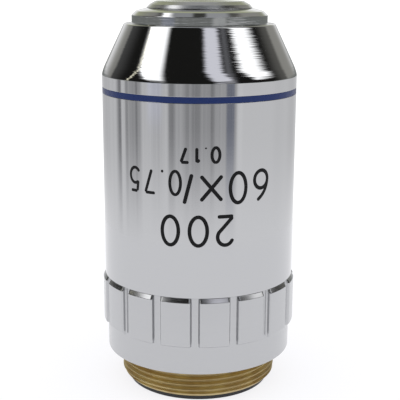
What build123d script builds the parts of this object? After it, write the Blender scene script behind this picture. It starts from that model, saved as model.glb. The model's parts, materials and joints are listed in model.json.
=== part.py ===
"""Spring-nose microscope objective, standing on its mounting thread.

Millimetres, +Z up along the optical axis. The origin is where the axis meets the mounting
shoulder, so the thread hangs below z = 0 and the front lens looks up.
"""

import os

from build123d import *

os.makedirs("parts", exist_ok=True)

# Mounting thread, drawn at its major diameter, and the black ring that closes its end
thread_radius = 10.12
thread_length = 3.96
thread_lead_in = 0.55
thread_wall = 1.62
end_ring_height = 0.66
end_ring_step = 0.37
end_ring_spigot = 1.20
end_ring_wall = 0.95

# Walls and gaps from the sliding barrel outwards
running_clearance = 0.05
stem_wall = 0.90
barrel_wall = 1.46
spring_room = 1.94
mount_wall = 1.00
sleeve_wall = 0.85

# Fluted grip ring around the mount
band_step = 0.27
band_height = 3.66
ring_wall = 1.08
grip_step = 0.27
grip_height = 5.70
grip_bevel_height = 0.51
groove_count = 16
groove_mouth = 1.20
groove_floor = 0.90
groove_phase = -1.9

# Outer sleeve with its cone and colour ring
sleeve_length = 25.76
cone_height = 6.24
cone_lip = 0.89
chamber_overrun = 1.00
front_land = 2.30
colour_width = 0.74
colour_below_cone = 1.51
colour_depth = 0.12
colour_sink = 0.01

# Nose: the front of the sliding barrel
nose_standout = 1.02
nose_bevel = 0.50
nose_bevel_height = 0.48
nose_face_rise = 0.38
front_wall = 2.25

# Front lens and its cell, seated on a ledge inside the nose
front_ledge = 1.10
cell_flange_lip = 0.70
cell_shoulder_bevel = 0.38
cell_shoulder_height = 0.44
cell_rim_bevel = 0.72
cell_height = 0.83
front_lens_wall = 2.70
front_lens_rim = 1.30
front_lens_sag = 0.80
front_dish_width = 1.20
front_dish_depth = 0.28
front_relief = 1.50

# Barrel, spring, stop and key
travel = 2.00
rear_depth = 5.50
seat_rise = 0.63
spring_wire = 1.00
spring_flat_count = 6
spring_turns = 3.0
collar_clearance = 0.20
stop_height = 2.00
stop_clearance = 0.44
key_diameter = 1.20
key_height = 1.10
key_slot_depth = 0.90
key_slot_land = 0.30
key_slot_clearance = 0.05
key_end_gap = 0.15
key_sink = 0.10

# Lens groups behind the front lens
lens_seat = 0.70
ledge_height = 0.90
cell_skirt = 1.10
meniscus_wall = 2.00
meniscus_rim = 1.60
meniscus_front_sag = -0.40
meniscus_rear_sag = 0.70
doublet_wall = 1.40
doublet_flint_rim = 1.00
doublet_crown_rim = 1.60
doublet_front_sag = 0.0
doublet_cement_sag = 0.50
doublet_rear_sag = 0.50
spacer_wall = 0.90
stop_disc_height = 0.40
stop_hole_radius = 2.50
rear_wall = 2.20
rear_flint_rim = 1.00
rear_crown_rim = 1.40
rear_front_sag = 0.0
rear_cement_sag = 0.30
rear_back_sag = 0.30
retainer_height = 2.60
retainer_wall = 2.40
retainer_slot = 1.20
retainer_slot_depth = 1.00

# Radii, from the thread inwards to the barrel and from the barrel outwards to the grip
thread_end_radius = thread_radius - thread_lead_in
end_ring_radius = thread_end_radius - end_ring_step
guide_bore = thread_end_radius - thread_wall
end_ring_hole = guide_bore - end_ring_wall
stem_radius = guide_bore - running_clearance
barrel_bore = stem_radius - stem_wall
nose_radius = barrel_bore + barrel_wall
front_bore = nose_radius + running_clearance
cone_tip_radius = front_bore + cone_lip
chamber_bore = nose_radius + spring_room
collar_radius = chamber_bore - collar_clearance
spring_radius = (stem_radius + chamber_bore) / 2
sleeve_bore = chamber_bore + mount_wall
sleeve_radius = sleeve_bore + sleeve_wall
band_radius = sleeve_radius - band_step
grip_radius = sleeve_radius + grip_step
core_radius = band_radius - ring_wall

# Radii of the front cell and its lens
cell_spigot_radius = barrel_bore - front_ledge
cell_flange_radius = cell_spigot_radius + cell_flange_lip
cell_shoulder_radius = cell_flange_radius - cell_shoulder_bevel
cell_rim_radius = cell_shoulder_radius - cell_rim_bevel
front_lens_radius = cell_spigot_radius - front_lens_wall
front_dish_radius = front_lens_radius + front_dish_width
front_relief_radius = front_lens_radius + front_relief

# The spring's room is its closed height and the nose's travel. The collar is long enough to keep the
# key in its slot at the end of that travel.
spring_length = spring_wire * (spring_turns + 1) + travel
collar_height = travel + key_height + key_diameter / 2 + key_slot_land

# Levels above the mounting shoulder
z_thread_end = -thread_length
z_grip_top = band_height + grip_height
z_ring_top = z_grip_top + grip_bevel_height
z_cone_start = z_ring_top + sleeve_length
z_cone_tip = z_cone_start + cone_height
z_colour_top = z_cone_start - colour_below_cone
z_colour_base = z_colour_top - colour_width
z_nose_bevel = z_cone_tip + nose_standout
z_nose_face = z_nose_bevel + nose_bevel_height
z_cell_seat = z_nose_face + nose_face_rise
z_cell_top = z_cell_seat + cell_height
z_lens_face = z_cell_top - front_dish_depth
z_bore_front = z_cell_seat - front_wall
z_spring_seat = z_ring_top + seat_rise
z_collar_rear = z_spring_seat + spring_length
z_collar_front = z_collar_rear + collar_height
z_mount_top = z_collar_front + stop_height
z_barrel_rear = rear_depth

# Lens stack inside the barrel: two cells from the front, and the retaining ring, the rear cell and
# the stop from the rear. The long spacer tube fills what is left between them.
meniscus_cell_height = ledge_height + meniscus_rim + cell_skirt
doublet_cell_height = ledge_height + doublet_flint_rim + doublet_crown_rim + cell_skirt
rear_cell_height = ledge_height + rear_flint_rim + rear_crown_rim + cell_skirt
z_meniscus_cell = z_bore_front - meniscus_cell_height
z_doublet_cell = z_meniscus_cell - doublet_cell_height
z_rear_cell = z_barrel_rear + retainer_height
z_stop_disc = z_rear_cell + rear_cell_height
z_spacer_tube = z_stop_disc + stop_disc_height


def turned(points):
    """A solid turned from a closed outline of (radius, height) points."""
    with BuildPart() as body:
        with BuildSketch(Plane.XZ):
            with BuildLine():
                Polyline(*points, close=True)
            make_face()
        revolve(axis=Axis.Z)
    return body


def ring(inner_radius, outer_radius, z_low, z_high):
    """A plain ring between two heights."""
    return turned(
        [
            (inner_radius, z_low),
            (outer_radius, z_low),
            (outer_radius, z_high),
            (inner_radius, z_high),
        ]
    )


def surface(rim_radius, z_rim, rise):
    """One lens surface, from the axis to the rim. The axis point lies above the rim by the rise."""
    if rise == 0:
        Line((0, z_rim), (rim_radius, z_rim))
    else:
        sphere_radius = (rim_radius**2 + rise**2) / (2 * abs(rise))
        drop = sphere_radius - (sphere_radius**2 - rim_radius**2 / 4) ** 0.5
        z_half = z_rim + rise - (drop if rise > 0 else -drop)
        ThreePointArc((0, z_rim + rise), (rim_radius / 2, z_half), (rim_radius, z_rim))


def lens(rim_radius, z_rear, z_front, rear_sag, front_sag):
    """A round lens between two rim heights. A positive sag bulges out of the glass."""
    with BuildPart() as glass:
        with BuildSketch(Plane.XZ):
            with BuildLine():
                surface(rim_radius, z_rear, -rear_sag)
                Line((rim_radius, z_rear), (rim_radius, z_front))
                surface(rim_radius, z_front, front_sag)
                Line((0, z_front + front_sag), (0, z_rear - rear_sag))
            make_face()
        revolve(axis=Axis.Z)
    return glass


def lens_cell(lens_radius, z_rear, height):
    """A cell that fills the barrel's bore. Its lenses go in from the rear, up to a ledge."""
    z_front = z_rear + height
    z_ledge = z_front - ledge_height
    return turned(
        [
            (lens_radius, z_rear),
            (barrel_bore, z_rear),
            (barrel_bore, z_front),
            (lens_radius - lens_seat, z_front),
            (lens_radius - lens_seat, z_ledge),
            (lens_radius, z_ledge),
        ]
    )


# Brass mount: thread, core inside the grip ring, and the tube that holds spring and stop. A cross
# hole at the back takes the key.
z_key = z_collar_rear + key_height
with BuildPart() as mount_body:
    with BuildSketch(Plane.XZ):
        with BuildLine():
            Polyline(
                (guide_bore, z_thread_end),
                (thread_end_radius, z_thread_end),
                (thread_radius, z_thread_end + thread_lead_in),
                (thread_radius, 0),
                (core_radius, 0),
                (core_radius, z_ring_top),
                (sleeve_bore, z_ring_top),
                (sleeve_bore, z_mount_top),
                (chamber_bore, z_mount_top),
                (chamber_bore, z_spring_seat),
                (guide_bore, z_spring_seat),
                close=True,
            )
        make_face()
    revolve(axis=Axis.Z)
    with BuildSketch(Plane.XZ):
        with Locations((0, z_key)):
            Circle(key_diameter / 2)
    extrude(amount=-sleeve_radius, mode=Mode.SUBTRACT)
mount_body.part.label = "mount_body"
export_step(mount_body.part, "parts/mount_body.step")

# Black ring pressed into the thread's end
thread_end_ring = turned(
    [
        (end_ring_hole, z_thread_end - end_ring_height),
        (end_ring_radius, z_thread_end - end_ring_height),
        (end_ring_radius, z_thread_end),
        (guide_bore, z_thread_end),
        (guide_bore, z_thread_end + end_ring_spigot),
        (end_ring_hole, z_thread_end + end_ring_spigot),
    ]
)
thread_end_ring.part.label = "thread_end_ring"
export_step(thread_end_ring.part, "parts/thread_end_ring.step")

# Grip ring: a plain band below, raised pads between narrow grooves above, bevelled to the sleeve
with BuildPart() as grip_ring:
    with BuildSketch(Plane.XZ):
        with BuildLine():
            Polyline(
                (core_radius, 0),
                (band_radius, 0),
                (band_radius, band_height),
                (grip_radius, band_height),
                (grip_radius, z_grip_top),
                (sleeve_radius, z_ring_top),
                (core_radius, z_ring_top),
                close=True,
            )
        make_face()
    revolve(axis=Axis.Z)
    with BuildSketch(Plane.XY.offset(band_height)):
        with PolarLocations(0, groove_count, start_angle=groove_phase - 90):
            Polygon(
                (core_radius, -groove_floor / 2),
                (band_radius, -groove_floor / 2),
                (grip_radius, -groove_mouth / 2),
                (grip_radius + grip_step, -groove_mouth / 2),
                (grip_radius + grip_step, groove_mouth / 2),
                (grip_radius, groove_mouth / 2),
                (band_radius, groove_floor / 2),
                (core_radius, groove_floor / 2),
                align=None,
            )
        Circle(band_radius, mode=Mode.SUBTRACT)
    extrude(amount=z_ring_top - band_height, mode=Mode.SUBTRACT)
grip_ring.part.label = "grip_ring"
export_step(grip_ring.part, "parts/grip_ring.step")

# Outer sleeve: thin wall, cone towards the front, groove for the colour ring
with BuildPart() as outer_sleeve:
    with BuildSketch(Plane.XZ):
        with BuildLine():
            Polyline(
                (sleeve_bore, z_ring_top),
                (sleeve_radius, z_ring_top),
                (sleeve_radius, z_colour_base),
                (sleeve_radius - colour_depth, z_colour_base),
                (sleeve_radius - colour_depth, z_colour_top),
                (sleeve_radius, z_colour_top),
                (sleeve_radius, z_cone_start),
                (cone_tip_radius, z_cone_tip),
                (front_bore, z_cone_tip),
                (front_bore, z_cone_tip - front_land),
                (sleeve_bore, z_cone_start - chamber_overrun),
                close=True,
            )
        make_face()
    revolve(axis=Axis.Z)
outer_sleeve.part.label = "outer_sleeve"
export_step(outer_sleeve.part, "parts/outer_sleeve.step")

# Colour ring lying in the sleeve's groove, a hair below flush
colour_ring = ring(
    sleeve_radius - colour_depth, sleeve_radius - colour_sink, z_colour_base, z_colour_top
)
colour_ring.part.label = "colour_ring"
export_step(colour_ring.part, "parts/colour_ring.step")

# Stop ring that keeps the sliding barrel in against its spring
stop_ring = ring(nose_radius + stop_clearance, chamber_bore, z_collar_front, z_mount_top)
stop_ring.part.label = "stop_ring"
export_step(stop_ring.part, "parts/stop_ring.step")

# Key pin through the mount's wall, reaching into the barrel's slot
with BuildPart() as guide_pin:
    with BuildSketch(Plane.XZ.offset(key_sink - sleeve_bore)):
        with Locations((0, z_key)):
            Circle(key_diameter / 2)
    extrude(amount=sleeve_bore - key_sink - collar_radius + key_slot_depth - key_end_gap)
guide_pin.part.label = "guide_pin"
export_step(guide_pin.part, "parts/guide_pin.step")

# Compression spring around the barrel's stem. Its wire is drawn with flats, two of which rest on
# the mount's seat and under the collar.
spring_rise = spring_length - spring_wire
with BuildPart() as compression_spring:
    with BuildLine(Plane.XY.offset(z_spring_seat + spring_wire / 2)) as coil:
        Helix(pitch=spring_rise / spring_turns, height=spring_rise, radius=spring_radius)
    with BuildSketch(Plane(origin=coil.line @ 0, x_dir=(1, 0, 0), z_dir=coil.line % 0)):
        RegularPolygon(spring_wire / 2, spring_flat_count, major_radius=False)
    sweep(path=coil.line, is_frenet=True)
compression_spring.part.label = "compression_spring"
export_step(compression_spring.part, "parts/compression_spring.step")

# Sliding barrel: stem in the mount's guide, collar against the stop, nose through the sleeve
with BuildPart() as inner_barrel:
    with BuildSketch(Plane.XZ):
        with BuildLine():
            Polyline(
                (barrel_bore, z_barrel_rear),
                (stem_radius, z_barrel_rear),
                (stem_radius, z_collar_rear),
                (collar_radius, z_collar_rear),
                (collar_radius, z_collar_front),
                (nose_radius, z_collar_front),
                (nose_radius, z_nose_bevel),
                (nose_radius - nose_bevel, z_nose_face),
                (cell_flange_radius, z_cell_seat),
                (cell_spigot_radius, z_cell_seat),
                (cell_spigot_radius, z_bore_front),
                (barrel_bore, z_bore_front),
                close=True,
            )
        make_face()
    revolve(axis=Axis.Z)
    with BuildSketch(Plane.XY.offset(z_collar_rear)):
        with Locations((0, collar_radius)):
            Rectangle(key_diameter + 2 * key_slot_clearance, 2 * key_slot_depth)
    extrude(amount=collar_height, mode=Mode.SUBTRACT)
inner_barrel.part.label = "inner_barrel"
export_step(inner_barrel.part, "parts/inner_barrel.step")

# Front cell: doubly bevelled crown around the front lens, spigot in the barrel's front wall
with BuildPart() as front_cell:
    with BuildSketch(Plane.XZ):
        with BuildLine():
            Polyline(
                (cell_rim_radius, z_cell_top),
                (front_dish_radius, z_cell_top),
                (front_lens_radius, z_lens_face),
                (front_lens_radius, z_lens_face - front_lens_rim),
                (front_relief_radius, z_bore_front),
                (cell_spigot_radius, z_bore_front),
                (cell_spigot_radius, z_cell_seat),
                (cell_flange_radius, z_cell_seat),
            )
            Polyline(
                (cell_flange_radius, z_cell_seat),
                (cell_shoulder_radius, z_cell_seat + cell_shoulder_height),
                (cell_rim_radius, z_cell_top),
            )
        make_face()
    revolve(axis=Axis.Z)
front_cell.part.label = "front_cell"
export_step(front_cell.part, "parts/front_cell.step")

# Front lens: flat front, strongly curved back
with BuildPart() as front_lens:
    with BuildSketch(Plane.XZ):
        with BuildLine():
            surface(front_lens_radius, z_lens_face - front_lens_rim, -front_lens_sag)
            Polyline(
                (front_lens_radius, z_lens_face - front_lens_rim),
                (front_lens_radius, z_lens_face),
                (0, z_lens_face),
                (0, z_lens_face - front_lens_rim - front_lens_sag),
            )
        make_face()
    revolve(axis=Axis.Z)
front_lens.part.label = "front_lens"
export_step(front_lens.part, "parts/front_lens.step")

# Second group: a single meniscus in its cell
meniscus_radius = barrel_bore - meniscus_wall
z_meniscus_rear = z_meniscus_cell + cell_skirt
meniscus_cell = lens_cell(meniscus_radius, z_meniscus_cell, meniscus_cell_height)
meniscus_cell.part.label = "meniscus_cell"
export_step(meniscus_cell.part, "parts/meniscus_cell.step")

meniscus_lens = lens(
    meniscus_radius,
    z_meniscus_rear,
    z_meniscus_rear + meniscus_rim,
    meniscus_rear_sag,
    meniscus_front_sag,
)
meniscus_lens.part.label = "meniscus_lens"
export_step(meniscus_lens.part, "parts/meniscus_lens.step")

# Third group: cemented doublet, its flint in front
doublet_radius = barrel_bore - doublet_wall
z_doublet_rear = z_doublet_cell + cell_skirt
z_doublet_cement = z_doublet_rear + doublet_crown_rim
doublet_cell = lens_cell(doublet_radius, z_doublet_cell, doublet_cell_height)
doublet_cell.part.label = "doublet_cell"
export_step(doublet_cell.part, "parts/doublet_cell.step")

doublet_flint = lens(
    doublet_radius,
    z_doublet_cement,
    z_doublet_cement + doublet_flint_rim,
    -doublet_cement_sag,
    doublet_front_sag,
)
doublet_flint.part.label = "doublet_flint"
export_step(doublet_flint.part, "parts/doublet_flint.step")

doublet_crown = lens(
    doublet_radius,
    z_doublet_rear,
    z_doublet_cement,
    doublet_rear_sag,
    doublet_cement_sag,
)
doublet_crown.part.label = "doublet_crown"
export_step(doublet_crown.part, "parts/doublet_crown.step")

# Long spacer tube between the doublet's cell and the stop
spacer_tube = ring(barrel_bore - spacer_wall, barrel_bore, z_spacer_tube, z_doublet_cell)
spacer_tube.part.label = "spacer_tube"
export_step(spacer_tube.part, "parts/spacer_tube.step")

# Aperture stop: a thin black disc with a hole for the beam
aperture_stop = ring(stop_hole_radius, barrel_bore, z_stop_disc, z_spacer_tube)
aperture_stop.part.label = "aperture_stop"
export_step(aperture_stop.part, "parts/aperture_stop.step")

# Rear group: cemented doublet with a hollow first surface
rear_radius = barrel_bore - rear_wall
z_rear_lens = z_rear_cell + cell_skirt
z_rear_cement = z_rear_lens + rear_crown_rim
rear_cell = lens_cell(rear_radius, z_rear_cell, rear_cell_height)
rear_cell.part.label = "rear_cell"
export_step(rear_cell.part, "parts/rear_cell.step")

rear_flint = lens(
    rear_radius, z_rear_cement, z_rear_cement + rear_flint_rim, -rear_cement_sag, rear_front_sag
)
rear_flint.part.label = "rear_flint"
export_step(rear_flint.part, "parts/rear_flint.step")

rear_crown = lens(rear_radius, z_rear_lens, z_rear_cement, rear_back_sag, rear_cement_sag)
rear_crown.part.label = "rear_crown"
export_step(rear_crown.part, "parts/rear_crown.step")

# Retaining ring at the barrel's rear, with two slots for a pin spanner
retainer_bore = barrel_bore - retainer_wall
with BuildPart() as rear_retainer:
    with BuildSketch(Plane.XY.offset(z_barrel_rear)):
        Circle(barrel_bore)
        Circle(retainer_bore, mode=Mode.SUBTRACT)
    extrude(amount=retainer_height)
    with BuildSketch(Plane.XY.offset(z_barrel_rear)):
        Rectangle(2 * barrel_bore + retainer_slot, retainer_slot)
    extrude(amount=retainer_slot_depth, mode=Mode.SUBTRACT)
rear_retainer.part.label = "rear_retainer"
export_step(rear_retainer.part, "parts/rear_retainer.step")
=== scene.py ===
# %% [markdown]
# # A microscope objective in chrome and brass
#
# The object is a microscope objective, standing on its brass mounting thread with the front lens
# up. Nearly all of it is turned on a lathe, so nearly every surface is a profile swung around one
# axis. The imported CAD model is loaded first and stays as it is: it gives every height and radius,
# and the pieces made here take the place of the solids that show.

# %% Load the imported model
import json
import math

import bmesh
import bpy
from mathutils import Matrix, Vector


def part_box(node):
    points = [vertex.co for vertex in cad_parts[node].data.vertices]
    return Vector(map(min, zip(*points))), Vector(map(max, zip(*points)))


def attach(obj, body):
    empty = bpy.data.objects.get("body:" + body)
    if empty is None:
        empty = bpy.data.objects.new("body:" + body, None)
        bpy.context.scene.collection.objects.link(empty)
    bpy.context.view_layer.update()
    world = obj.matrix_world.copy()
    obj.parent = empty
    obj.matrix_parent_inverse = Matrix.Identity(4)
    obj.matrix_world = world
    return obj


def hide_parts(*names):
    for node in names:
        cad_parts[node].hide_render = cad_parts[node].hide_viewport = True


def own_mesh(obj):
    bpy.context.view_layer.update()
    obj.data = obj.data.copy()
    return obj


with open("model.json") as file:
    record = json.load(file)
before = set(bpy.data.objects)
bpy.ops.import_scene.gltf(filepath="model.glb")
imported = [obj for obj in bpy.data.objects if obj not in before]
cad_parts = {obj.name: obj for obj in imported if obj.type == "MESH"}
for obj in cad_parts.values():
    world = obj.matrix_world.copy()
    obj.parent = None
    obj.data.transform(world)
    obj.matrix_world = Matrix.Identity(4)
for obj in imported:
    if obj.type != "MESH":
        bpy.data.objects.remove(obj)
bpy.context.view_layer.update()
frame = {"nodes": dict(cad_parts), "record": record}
MM = 0.001

# %% [markdown]
# ## Reading sizes from the frame
#
# A turned solid is fully placed by three numbers: its outer radius, its bottom and its top. The
# box of each CAD node gives them, so no height is typed twice. All the shapes below are drawn in
# millimetres, which suit a small object, and turned into metres when the mesh is made.


# %% Radius, bottom and top of a node
def reach(node):
    """Outer radius, bottom and top of a turned CAD node, in millimetres."""
    low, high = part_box(node)
    return high.x / MM, low.z / MM, high.z / MM


sleeve_r, ring_top, cone_tip = reach("outer_sleeve")
colour_r, colour_low, colour_high = reach("colour_ring")
mount_r, thread_end, mount_top = reach("mount_body")
end_ring_r, table, end_ring_top = reach("thread_end_ring")
collar_r, barrel_rear, cell_seat = reach("inner_barrel")
flange_r, bore_front, cell_top = reach("front_cell")
lens_r, lens_rear, lens_face = reach("front_lens")
print("sleeve radius, ring top, cone tip:", [round(size, 3) for size in (sleeve_r, ring_top, cone_tip)])

# %% [markdown]
# ## Camera
#
# The camera comes first, so that every later step can be compared with the photograph. It stands
# about 12 cm in front of the axis and looks slightly down, and its place was worked out from the
# curves of the rings: a ring seen from close by and from above is an ellipse whose flatness gives
# the angle. A small shift and a quarter degree of roll put the object where the picture has it.

# %% Place the camera
CAMERA_DISTANCE = 117.92
CAMERA_HEIGHT = 47.37
CAMERA_PITCH = 13.62
CAMERA_ROLL = 0.25
CAMERA_SHIFT = (0.0029, 0.0071)
FOCAL_LENGTH = 83.65
SENSOR_WIDTH = 36
CLIP_START = 0.01

camera_data = bpy.data.cameras.new("camera")
camera_data.lens = FOCAL_LENGTH
camera_data.sensor_width = SENSOR_WIDTH
camera_data.shift_x, camera_data.shift_y = CAMERA_SHIFT
camera_data.clip_start = CLIP_START
camera = bpy.data.objects.new("camera", camera_data)
bpy.context.scene.collection.objects.link(camera)
camera.matrix_world = (
    Matrix.Translation((0, -CAMERA_DISTANCE * MM, CAMERA_HEIGHT * MM))
    @ Matrix.Rotation(math.radians(90 - CAMERA_PITCH), 4, "X")
    @ Matrix.Rotation(math.radians(CAMERA_ROLL), 4, "Z")
)
bpy.context.scene.camera = camera
bpy.context.scene.view_settings.view_transform = "Standard"
print("camera at", [round(value, 4) for value in camera.location])

# %% [markdown]
# ## Node helpers
#
# Materials, the studio and the geometry trees are all node trees. Two small helpers keep them
# readable: one adds a node with its settings and inputs, the other adds one step of arithmetic.


# %% Add nodes and sums to a tree
def put(tree, kind, inputs=None, **settings):
    """A new node. Each input is given a value, or a socket to be linked to."""
    node = tree.nodes.new(kind)
    for name, value in settings.items():
        setattr(node, name, value)
    for socket, value in (inputs or {}).items():
        if isinstance(value, bpy.types.NodeSocket):
            tree.links.new(value, node.inputs[socket])
        else:
            node.inputs[socket].default_value = value
    return node


def calc(tree, operation, *values):
    """The result of one Math node on numbers or sockets."""
    return put(tree, "ShaderNodeMath", dict(enumerate(values)), operation=operation).outputs[0]


# %% [markdown]
# ## Studio
#
# Chrome has no colour of its own: what is seen on it is the room. The upright sleeve looks a
# little down, at the table's edge and the dim things that stand behind the camera. The cone looks
# up, at the softboxes. So the studio is drawn as a function of direction, which keeps every edge
# as soft as it should be. Azimuth 0 is behind the camera, and plus is to the right. Matt surfaces
# and the camera see plain white instead, so that the floor is evenly lit.


# %% Direction of a ray in degrees
world = bpy.data.worlds.new("studio")
world.use_nodes = True
world.cycles.sampling_method = "NONE"
bpy.context.scene.world = world
sky = world.node_tree
sky.nodes.clear()

direction = put(sky, "ShaderNodeTexCoord").outputs["Generated"]
axes = put(sky, "ShaderNodeSeparateXYZ", {0: direction})
turn_rad = calc(sky, "ARCTAN2", axes.outputs["X"], calc(sky, "MULTIPLY", axes.outputs["Y"], -1.0))
azimuth = calc(sky, "MULTIPLY", turn_rad, 180 / math.pi)
elevation = calc(sky, "MULTIPLY", calc(sky, "ARCSINE", axes.outputs["Z"]), 180 / math.pi)


# %% Soft panels of light and shade
UPRIGHT_AT = 35.0


def ramp(value, start, end):
    """A smooth step from 0 at start to 1 at end."""
    inputs = {"Value": value, "From Min": start, "From Max": end}
    return put(sky, "ShaderNodeMapRange", inputs, interpolation_type="SMOOTHSTEP").outputs["Result"]


def leaning(lean):
    """Azimuth that shifts with each degree of elevation above UPRIGHT_AT, so that a side leans."""
    if lean == 0:
        return azimuth
    shift = calc(sky, "MULTIPLY", calc(sky, "SUBTRACT", elevation, UPRIGHT_AT), lean)
    return calc(sky, "ADD", azimuth, shift)


def panel(left, right, soft_left, soft_right, lean_left=0.0, lean_right=0.0):
    """How much of a panel is seen, from one azimuth to another, with soft sides that may lean."""
    rise = ramp(leaning(lean_left), left - soft_left, left + soft_left)
    fall = ramp(leaning(lean_right), right + soft_right, right - soft_right)
    return calc(sky, "MULTIPLY", rise, fall)


def add_light(first, second):
    """The sum of two colours."""
    return put(sky, "ShaderNodeVectorMath", {0: first, 1: second}, operation="ADD").outputs[0]


def dimmed(colour, mask):
    """A colour times a mask."""
    return put(sky, "ShaderNodeVectorMath", {0: colour, "Scale": mask}, operation="SCALE").outputs[0]


def lit(base, patches=()):
    """Colour of a set of (mask, strength, tint) patches added to a base colour."""
    colour = put(sky, "ShaderNodeCombineXYZ", dict(enumerate(base))).outputs[0]
    for mask, strength, tint in patches:
        colour = add_light(colour, dimmed([strength * part for part in tint], mask))
    return colour


def blend_over(first, second, mask):
    """The first colour, giving way to the second where the mask is 1."""
    node = put(sky, "ShaderNodeMix", data_type="VECTOR")
    for socket, value in ((0, mask), (4, first), (5, second)):
        sky.links.new(value, node.inputs[socket])
    return node.outputs[1]


BLACK = (0.0, 0.0, 0.0)
NEUTRAL = (1.0, 1.0, 1.0)
LILAC = (0.97, 0.97, 1.05)
CREAM = (1.05, 1.0, 0.78)
OLIVE = (0.47, 0.49, 0.33)
WARM_GREY = (1.0, 0.98, 0.9)
AMBER = (1.12, 1.04, 0.80)
BLUE = (0.72, 0.85, 1.6)

# %% Softboxes in a dim room
# Each patch: left and right azimuth, softness of its two sides and their lean, strength, tint
BOXES_FADE_IN = (17, 25)

boxes = lit(
    BLACK,
    [
        (panel(-87, -50, 3.5, 6, 1.5, 0.5), 1.9, NEUTRAL),
        (panel(-93, -80, 4, 5, 1.5, 1.5), 0.35, NEUTRAL),
        (panel(14, 37, 4, 4, 0.5, 0.5), 1.0, LILAC),
        (panel(37, 46, 4, 5), 0.15, LILAC),
        (panel(62.3, 86, 4, 6, 0.8, 1.0), 1.9, NEUTRAL),
    ],
)
dim_room = lit(
    (0.014, 0.014, 0.013),
    [
        (panel(-86.6, -84.6, 0.6, 0.6, -0.3, -0.3), 1.3, CREAM),
        (panel(-150, -112, 16, 14), 0.07, NEUTRAL),
        (panel(108, 150, 12, 10), 0.12, WARM_GREY),
        (panel(-230, -126, 5, 3), 0.24, WARM_GREY),
        (panel(124, 230, 4, 3), 0.24, WARM_GREY),
    ],
)
softboxes = add_light(dimmed(boxes, ramp(elevation, *BOXES_FADE_IN)), dim_room)

# %% Back wall and ceiling
# The wall behind the object is white at its foot, olive in the middle and grey at its top
WALL_LOW = (8, 24)
WALL_HIGH = (40, 56)
CEILING_FROM = (60, 68)
OVERHEAD_FROM = (82, 86)
BEHIND_RIGHT = (140, 168)
BEHIND_LEFT = (-128, -160)

wall_top = ramp(elevation, *WALL_HIGH)
wall_middle = calc(sky, "MULTIPLY", ramp(elevation, *WALL_LOW), ramp(elevation, *WALL_HIGH[::-1]))
wall_foot = ramp(elevation, *WALL_LOW[::-1])
back_wall = lit(
    BLACK,
    [
        (wall_foot, 1.0, NEUTRAL),
        (wall_middle, 1.0, OLIVE),
        (wall_top, 0.50, NEUTRAL),
    ],
)
ceiling = lit(
    (0.24, 0.25, 0.26),
    [
        (ramp(azimuth, 30, 90), 0.20, NEUTRAL),
        (ramp(azimuth, -30, -90), 0.14, NEUTRAL),
    ],
)
overhead = lit((0.065, 0.066, 0.06))
behind = calc(sky, "MAXIMUM", ramp(azimuth, *BEHIND_RIGHT), ramp(azimuth, *BEHIND_LEFT))
above = blend_over(softboxes, ceiling, ramp(elevation, *CEILING_FROM))
above = blend_over(above, back_wall, behind)
above = blend_over(above, overhead, ramp(elevation, *OVERHEAD_FROM))

# %% Dim streaks just below the horizon
# Each streak: left and right azimuth, softness of its two sides, how much it adds or takes
STREAKS = [
    (-230, -112, 5, 3, 0.33),
    (-230, -134, 5, 16, -0.16),
    (-108.5, -104, 1.5, 0.8, -0.17),
    (-103, -96, 0.8, 1.2, 0.34),
    (-94, -91.5, 0.8, 0.8, -0.07),
    (-91.5, -87, 1.0, 2.0, 0.06),
    (-78.5, -76.5, 0.8, 0.8, -0.20),
    (-71, -36, 2.0, 1.6, 0.32),
    (-55, -44, 5, 3, -0.11),
    (-34, -29, 1.5, 1.2, -0.16),
    (-28, -18, 1.2, 1.5, 0.10),
    (-16, -12, 1.5, 1.0, -0.09),
    (-8.5, 1, 1.2, 1.2, -0.12),
    (12.5, 17, 1.0, 1.0, -0.13),
    (20, 30, 2.0, 1.2, 0.07),
    (43.5, 230, 2.2, 5, 0.43),
    (46, 51, 1.0, 2.0, 0.05),
    (98, 140, 8, 10, -0.05),
    (134, 230, 16, 5, -0.22),
]
BLUE_FADE = (-9.5, -7.5)
HAIRLINES_END = (52, 38)
HAIRLINES_PER_DEGREE = 0.45

streaks = [(panel(*sides), strength, NEUTRAL) for *sides, strength in STREAKS]
streaks.append((panel(31.5, 41, 1.2, 1.2), -0.20, AMBER))
blue_glow = calc(sky, "MULTIPLY", panel(-62, -44, 3, 3), ramp(elevation, *BLUE_FADE))
streaks.append((blue_glow, 0.10, BLUE))
along_azimuth = put(sky, "ShaderNodeCombineXYZ", {0: azimuth}).outputs[0]
noise = {"Vector": along_azimuth, "Scale": HAIRLINES_PER_DEGREE, "Detail": 3.0}
around_zero = calc(sky, "SUBTRACT", put(sky, "ShaderNodeTexNoise", noise).outputs["Fac"], 0.5)
hairlines = calc(sky, "MULTIPLY", around_zero, ramp(azimuth, *HAIRLINES_END))
streaks.append((hairlines, 0.45, NEUTRAL))
streaked = lit((0.49, 0.49, 0.50), streaks)

# %% White table, and the darker strip under the horizon
TABLE_FROM = (-8.5, -17)
STRIP_FROM = (-6, -3.5)

white_table = lit((1.06, 1.06, 1.08))
strip = lit(
    (0.225, 0.235, 0.225),
    [
        (panel(22, 44, 4, 4), 0.28, NEUTRAL),
        (panel(50, 78, 6, 6), 0.08, NEUTRAL),
        (panel(-66, -42, 4, 4), 0.07, BLUE),
    ],
)
below = blend_over(streaked, white_table, ramp(elevation, *TABLE_FROM))
below = blend_over(below, strip, ramp(elevation, *STRIP_FROM))

# %% Put the room together
HORIZON = (-1.0, 6.0)
PLAIN_WHITE = 1.2

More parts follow.
